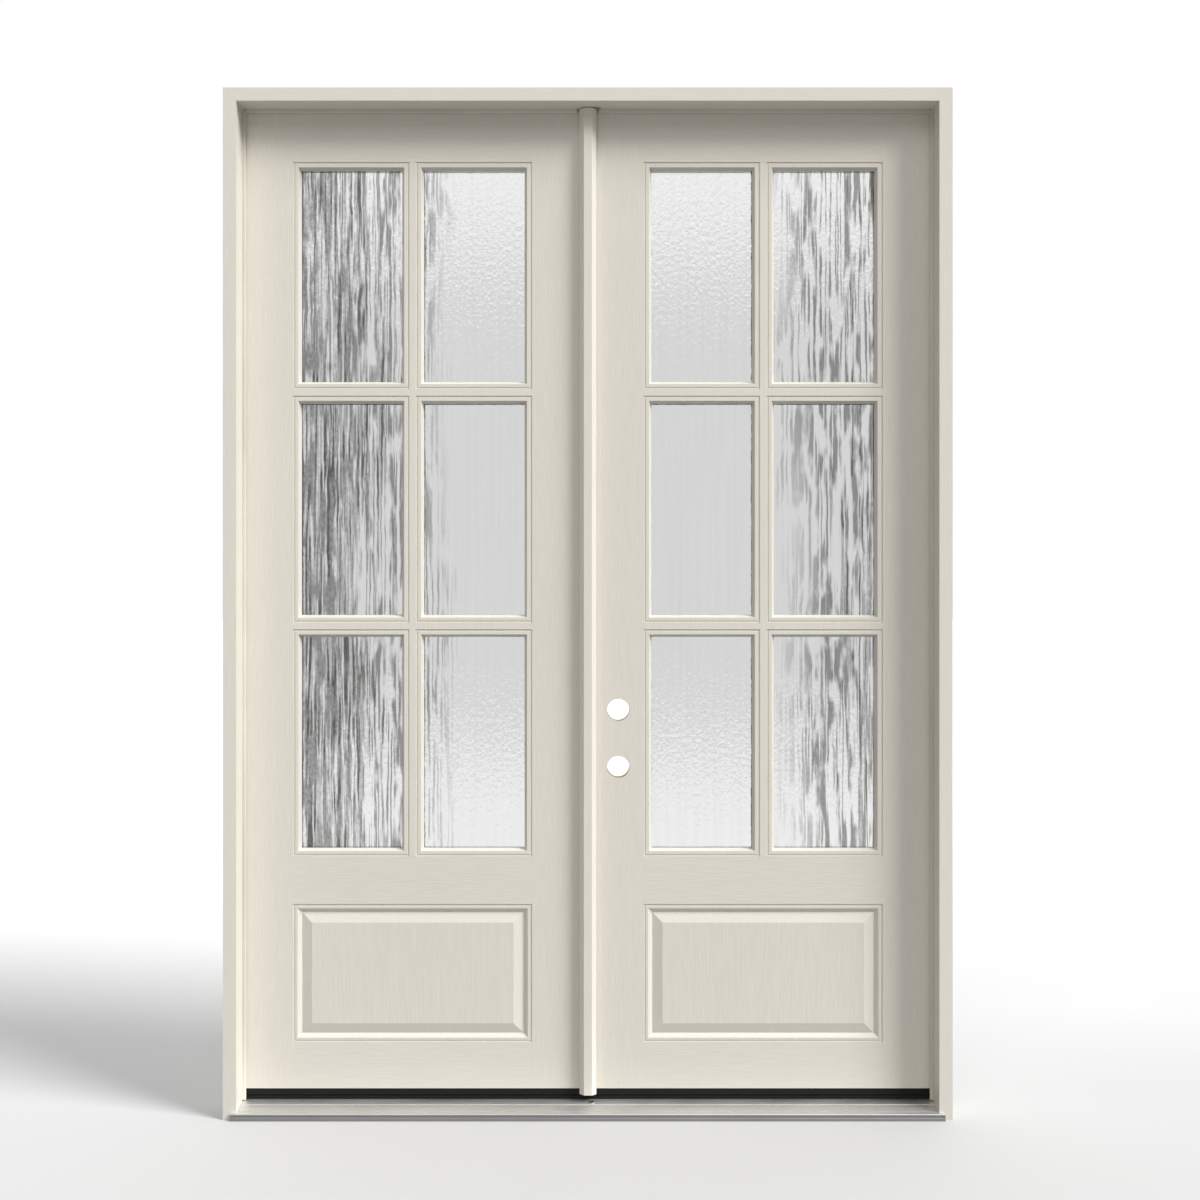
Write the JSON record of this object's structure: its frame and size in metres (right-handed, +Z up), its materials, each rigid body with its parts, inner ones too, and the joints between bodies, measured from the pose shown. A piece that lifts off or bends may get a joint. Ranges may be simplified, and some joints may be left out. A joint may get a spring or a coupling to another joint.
{
  "type": "french doors",
  "caption": "Inswing double doors in their frame: glazed leaves with muntins and a raised panel, astragal with flush bolts, metal sill, butt hinges, lock bores.",
  "frame": {"origin": "on the floor at the middle of the sill's underside across the opening; y = 0 is the outside face of the jambs", "axes": "+X to the right seen from outside, +Y from outside into the house, +Z up"},
  "size_m": [1.75, 0.1407, 2.476],
  "materials": {
    "jamb_paint": "satin painted",
    "leaf_paint": "satin painted fibreglass with a fine wood grain",
    "core_wood": "raw",
    "core_foam": "foam",
    "textured_glass": "clear, with an upright rain texture",
    "spacer_metal": "satin",
    "sill_aluminium": "mill finish",
    "dark_vinyl": "matt",
    "weatherstrip": "matt",
    "hinge_steel": "satin",
    "zinc_screws": "zinc plated"
  },
  "bodies": {
    "frame": {"left_jamb": "jamb_paint", "right_jamb": "jamb_paint", "head_jamb": "jamb_paint", "frame_screws": "zinc_screws", "sill_core": "core_wood", "sill_deck": "sill_aluminium", "sill_riser": "dark_vinyl", "riser_screws": "zinc_screws", "left_jamb_seal": "weatherstrip", "right_jamb_seal": "weatherstrip", "head_seal": "weatherstrip", "corner_pads": "weatherstrip", "head_bolt_strike": "hinge_steel", "head_strike_screws": "zinc_screws", "sill_bolt_strike": "hinge_steel", "left_jamb_hinges": "hinge_steel", "right_jamb_hinges": "hinge_steel", "jamb_hinge_screws": "zinc_screws", "hinge_pins": "hinge_steel"},
    "active_leaf": {"active_front_skin": "leaf_paint", "active_room_skin": "leaf_paint", "active_hinge_stile": "jamb_paint", "active_lock_stile": "jamb_paint", "active_top_rail": "core_wood", "active_bottom_rail": "core_wood", "active_foam_core": "core_foam", "active_front_lite_frame": "leaf_paint", "active_room_lite_frame": "leaf_paint", "active_lite_screws": "zinc_screws", "active_front_glass": "textured_glass", "active_room_glass": "textured_glass", "active_glass_spacer": "spacer_metal", "active_bottom_sweep": "dark_vinyl", "active_leaf_hinges": "hinge_steel", "active_hinge_screws": "zinc_screws", "active_lock_block": "core_wood"},
    "passive_leaf": {"passive_front_skin": "leaf_paint", "passive_room_skin": "leaf_paint", "passive_hinge_stile": "jamb_paint", "passive_lock_stile": "jamb_paint", "passive_top_rail": "core_wood", "passive_bottom_rail": "core_wood", "passive_foam_core": "core_foam", "passive_front_lite_frame": "leaf_paint", "passive_room_lite_frame": "leaf_paint", "passive_lite_screws": "zinc_screws", "passive_front_glass": "textured_glass", "passive_room_glass": "textured_glass", "passive_glass_spacer": "spacer_metal", "passive_bottom_sweep": "dark_vinyl", "passive_leaf_hinges": "hinge_steel", "passive_hinge_screws": "zinc_screws", "astragal": "leaf_paint", "astragal_screws": "zinc_screws", "astragal_end_cap": "leaf_paint", "astragal_seal": "weatherstrip", "strike_plates": "hinge_steel", "strike_screws": "zinc_screws"},
    "top_bolt": {"top_flush_bolt": "hinge_steel"},
    "bottom_bolt": {"bottom_flush_bolt": "hinge_steel"}
  },
  "joints": [
    {"name": "active_leaf_hinge", "type": "hinge", "parent": "frame", "child": "active_leaf", "pos_m": [0.85445, 0.1236, 1.2], "axis": [0, 0, -1], "range_deg": [0, 105]},
    {"name": "passive_leaf_hinge", "type": "hinge", "parent": "frame", "child": "passive_leaf", "pos_m": [-0.85445, 0.1236, 1.2], "axis": [0, 0, 1], "range_deg": [0, 105]},
    {"name": "top_bolt_slide", "type": "slide", "parent": "passive_leaf", "child": "top_bolt", "axis": [0, 0, 1], "range_m": [0, 0.02]},
    {"name": "bottom_bolt_slide", "type": "slide", "parent": "passive_leaf", "child": "bottom_bolt", "axis": [0, 0, -1], "range_m": [0, 0.03]}
  ]
}
